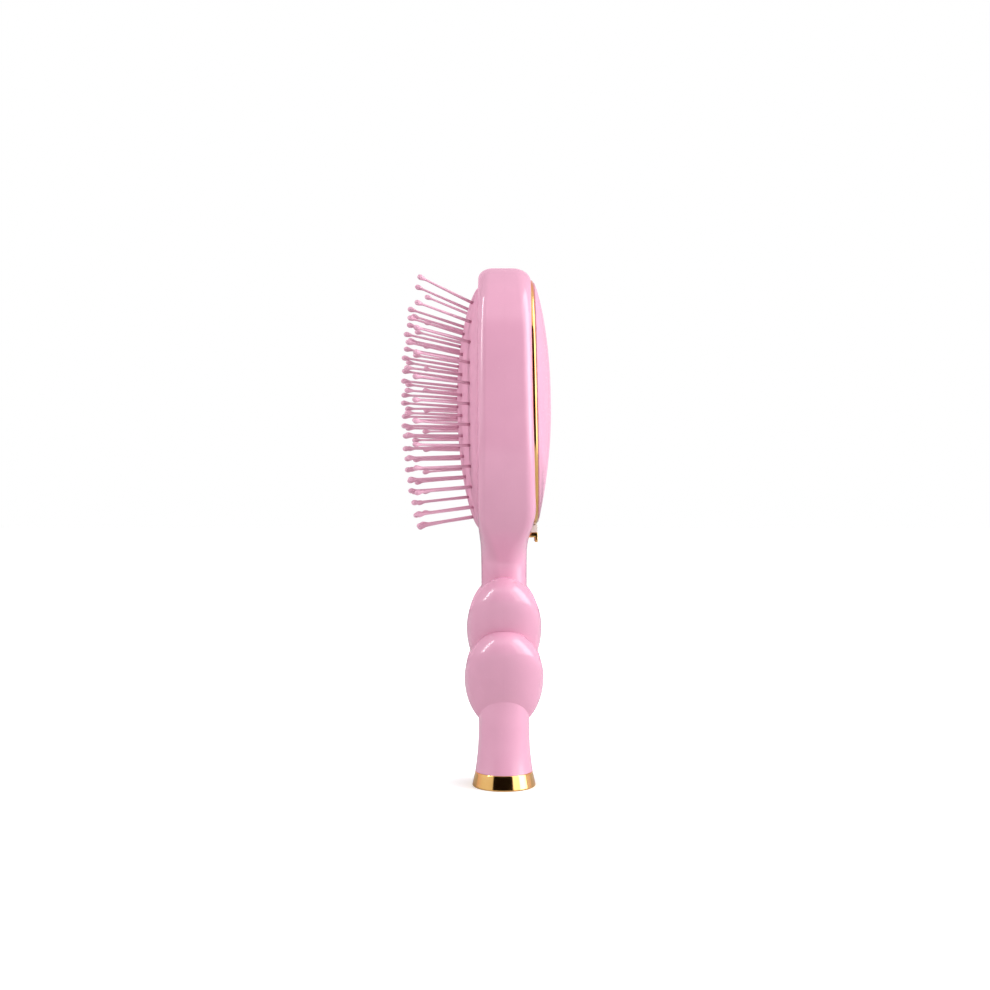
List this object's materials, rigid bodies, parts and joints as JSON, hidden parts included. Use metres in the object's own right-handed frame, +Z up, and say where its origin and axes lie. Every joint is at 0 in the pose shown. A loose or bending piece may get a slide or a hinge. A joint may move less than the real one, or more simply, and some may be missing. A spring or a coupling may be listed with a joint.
{
  "type": "detangling brush",
  "caption": "Oval cushion hair brush on a handle of stacked puffy lobes, with ball-tipped pins that lean in a springy cushion, a domed back cover in a trim ring and a metal foot.",
  "frame": {"origin": "centre of the end cap's flat underside, on the handle's axis", "axes": "+Z up along the brush to the top of the head, -X to the pins, +X to the back cover, Y across the width"},
  "size_m": [0.0608, 0.072, 0.209],
  "materials": {
    "pink_shell": "gloss",
    "pink_rubber": "satin",
    "pin_nylon": "semi-gloss",
    "frame_plastic": "matte",
    "screw_steel": "satin",
    "gold_trim": "mirror gold plating",
    "pale_insert": "gloss"
  },
  "bodies": {
    "handle": {"front_half": "pink_shell", "back_half": "pink_shell", "cushion_frame": "frame_plastic", "frame_screws": "screw_steel", "trim_ring": "gold_trim", "tab_insert": "pale_insert", "back_cover": "pink_shell", "end_cap": "gold_trim"},
    "pad": {"cushion": "pink_rubber"},
    "pins_01": {"pin_row_01": "pin_nylon"},
    "pins_02": {"pin_row_02": "pin_nylon"},
    "pins_03": {"pin_row_03": "pin_nylon"},
    "pins_04": {"pin_row_04": "pin_nylon"},
    "pins_05": {"pin_row_05": "pin_nylon"},
    "pins_06": {"pin_row_06": "pin_nylon"},
    "pins_07": {"pin_row_07": "pin_nylon"},
    "pins_08": {"pin_row_08": "pin_nylon"},
    "pins_09": {"pin_row_09": "pin_nylon"},
    "pins_10": {"pin_row_10": "pin_nylon"},
    "pins_11": {"pin_row_11": "pin_nylon"},
    "pins_12": {"pin_row_12": "pin_nylon"},
    "pins_13": {"pin_row_13": "pin_nylon"},
    "pins_14": {"pin_row_14": "pin_nylon"},
    "pins_15": {"pin_row_15": "pin_nylon"},
    "pins_16": {"pin_row_16": "pin_nylon"},
    "pins_17": {"pin_row_17": "pin_nylon"},
    "pins_18": {"pin_row_18": "pin_nylon"},
    "pins_19": {"pin_row_19": "pin_nylon"},
    "pins_20": {"pin_row_20": "pin_nylon"},
    "pins_21": {"pin_row_21": "pin_nylon"}
  },
  "joints": [
    {"name": "cushion_press", "type": "slide", "parent": "handle", "child": "pad", "axis": [1, 0, 0], "range_m": [0, 0.0025], "stiffness_N_per_m": 2000, "deforming": ["cushion"]},
    {"name": "lean_01", "type": "hinge", "parent": "pad", "child": "pins_01", "pos_m": [-0.01323, 0, 0.19331], "axis": [0, 1, 0], "range_deg": [-7, 7], "stiffness_Nm_per_rad": 0.15},
    {"name": "lean_02", "type": "hinge", "parent": "pad", "child": "pins_02", "pos_m": [-0.01483, 0, 0.18529], "axis": [0, 1, 0], "range_deg": [-7, 7], "stiffness_Nm_per_rad": 0.15},
    {"name": "lean_03", "type": "hinge", "parent": "pad", "child": "pins_03", "pos_m": [-0.01636, 0, 0.18128], "axis": [0, 1, 0], "range_deg": [-7, 7], "stiffness_Nm_per_rad": 0.15},
    {"name": "lean_04", "type": "hinge", "parent": "pad", "child": "pins_04", "pos_m": [-0.01566, 0, 0.17727], "axis": [0, 1, 0], "range_deg": [-7, 7], "stiffness_Nm_per_rad": 0.15},
    {"name": "lean_05", "type": "hinge", "parent": "pad", "child": "pins_05", "pos_m": [-0.01718, 0, 0.17325], "axis": [0, 1, 0], "range_deg": [-7, 7], "stiffness_Nm_per_rad": 0.15},
    {"name": "lean_06", "type": "hinge", "parent": "pad", "child": "pins_06", "pos_m": [-0.01611, 0, 0.16924], "axis": [0, 1, 0], "range_deg": [-7, 7], "stiffness_Nm_per_rad": 0.15},
    {"name": "lean_07", "type": "hinge", "parent": "pad", "child": "pins_07", "pos_m": [-0.01756, 0, 0.16523], "axis": [0, 1, 0], "range_deg": [-7, 7], "stiffness_Nm_per_rad": 0.15},
    {"name": "lean_08", "type": "hinge", "parent": "pad", "child": "pins_08", "pos_m": [-0.01626, 0, 0.16121], "axis": [0, 1, 0], "range_deg": [-7, 7], "stiffness_Nm_per_rad": 0.15},
    {"name": "lean_09", "type": "hinge", "parent": "pad", "child": "pins_09", "pos_m": [-0.01766, 0, 0.1572], "axis": [0, 1, 0], "range_deg": [-7, 7], "stiffness_Nm_per_rad": 0.15},
    {"name": "lean_10", "type": "hinge", "parent": "pad", "child": "pins_10", "pos_m": [-0.01626, 0, 0.15319], "axis": [0, 1, 0], "range_deg": [-7, 7], "stiffness_Nm_per_rad": 0.15},
    {"name": "lean_11", "type": "hinge", "parent": "pad", "child": "pins_11", "pos_m": [-0.01759, 0, 0.14918], "axis": [0, 1, 0], "range_deg": [-7, 7], "stiffness_Nm_per_rad": 0.15},
    {"name": "lean_12", "type": "hinge", "parent": "pad", "child": "pins_12", "pos_m": [-0.01615, 0, 0.14517], "axis": [0, 1, 0], "range_deg": [-7, 7], "stiffness_Nm_per_rad": 0.15},
    {"name": "lean_13", "type": "hinge", "parent": "pad", "child": "pins_13", "pos_m": [-0.01731, 0, 0.14115], "axis": [0, 1, 0], "range_deg": [-7, 7], "stiffness_Nm_per_rad": 0.15},
    {"name": "lean_14", "type": "hinge", "parent": "pad", "child": "pins_14", "pos_m": [-0.01585, 0, 0.13714], "axis": [0, 1, 0], "range_deg": [-7, 7], "stiffness_Nm_per_rad": 0.15},
    {"name": "lean_15", "type": "hinge", "parent": "pad", "child": "pins_15", "pos_m": [-0.01676, 0, 0.13313], "axis": [0, 1, 0], "range_deg": [-7, 7], "stiffness_Nm_per_rad": 0.15},
    {"name": "lean_16", "type": "hinge", "parent": "pad", "child": "pins_16", "pos_m": [-0.01531, 0, 0.12912], "axis": [0, 1, 0], "range_deg": [-7, 7], "stiffness_Nm_per_rad": 0.15},
    {"name": "lean_17", "type": "hinge", "parent": "pad", "child": "pins_17", "pos_m": [-0.01589, 0, 0.1251], "axis": [0, 1, 0], "range_deg": [-7, 7], "stiffness_Nm_per_rad": 0.15},
    {"name": "lean_18", "type": "hinge", "parent": "pad", "child": "pins_18", "pos_m": [-0.0145, 0, 0.12109], "axis": [0, 1, 0], "range_deg": [-7, 7], "stiffness_Nm_per_rad": 0.15},
    {"name": "lean_19", "type": "hinge", "parent": "pad", "child": "pins_19", "pos_m": [-0.01459, 0, 0.11708], "axis": [0, 1, 0], "range_deg": [-7, 7], "stiffness_Nm_per_rad": 0.15},
    {"name": "lean_20", "type": "hinge", "parent": "pad", "child": "pins_20", "pos_m": [-0.01327, 0, 0.11307], "axis": [0, 1, 0], "range_deg": [-7, 7], "stiffness_Nm_per_rad": 0.15},
    {"name": "lean_21", "type": "hinge", "parent": "pad", "child": "pins_21", "pos_m": [-0.0126, 0, 0.10905], "axis": [0, 1, 0], "range_deg": [-7, 7], "stiffness_Nm_per_rad": 0.15}
  ]
}
